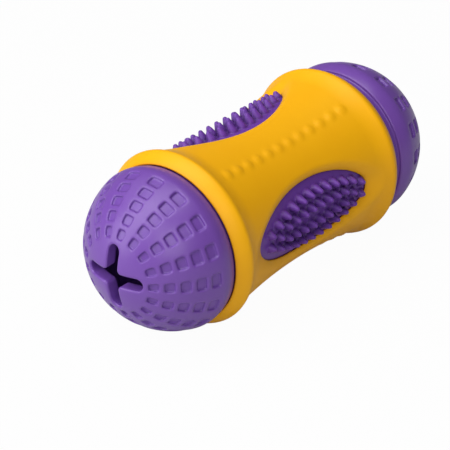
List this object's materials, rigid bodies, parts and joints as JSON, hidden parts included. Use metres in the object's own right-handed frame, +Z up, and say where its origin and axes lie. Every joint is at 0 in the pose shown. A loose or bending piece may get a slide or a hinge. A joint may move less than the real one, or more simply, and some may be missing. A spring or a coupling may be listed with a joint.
{
  "type": "treat dispensing dog toy",
  "caption": "Dumbbell-shaped rubber chew toy that holds treats: windowed waisted sleeve over a tube with spiked pads, and a pull-off dimpled ball with a cross-shaped mouth at each end.",
  "frame": {"origin": "on the toy's long axis, midway between the two balls", "axes": "+X along the long axis, from the front ball to the rear ball; +Z up, with one window looking along -Y"},
  "size_m": [0.1554, 0.066, 0.066],
  "materials": {
    "yellow_rubber": "smooth satin moulded rubber",
    "purple_rubber": "smooth satin moulded rubber"
  },
  "bodies": {
    "sleeve": {"outer_sleeve": "yellow_rubber", "treat_tube": "purple_rubber", "spike_pad_side": "purple_rubber", "spike_pad_upper": "purple_rubber", "spike_pad_lower": "purple_rubber"},
    "front_ball": {"front_ball": "purple_rubber"},
    "rear_ball": {"rear_ball": "purple_rubber"}
  },
  "joints": [
    {"name": "front_ball_pull", "type": "slide", "parent": "sleeve", "child": "front_ball", "axis": [-1, 0, 0], "range_m": [0, 0.03]},
    {"name": "rear_ball_pull", "type": "slide", "parent": "sleeve", "child": "rear_ball", "axis": [1, 0, 0], "range_m": [0, 0.03]}
  ]
}
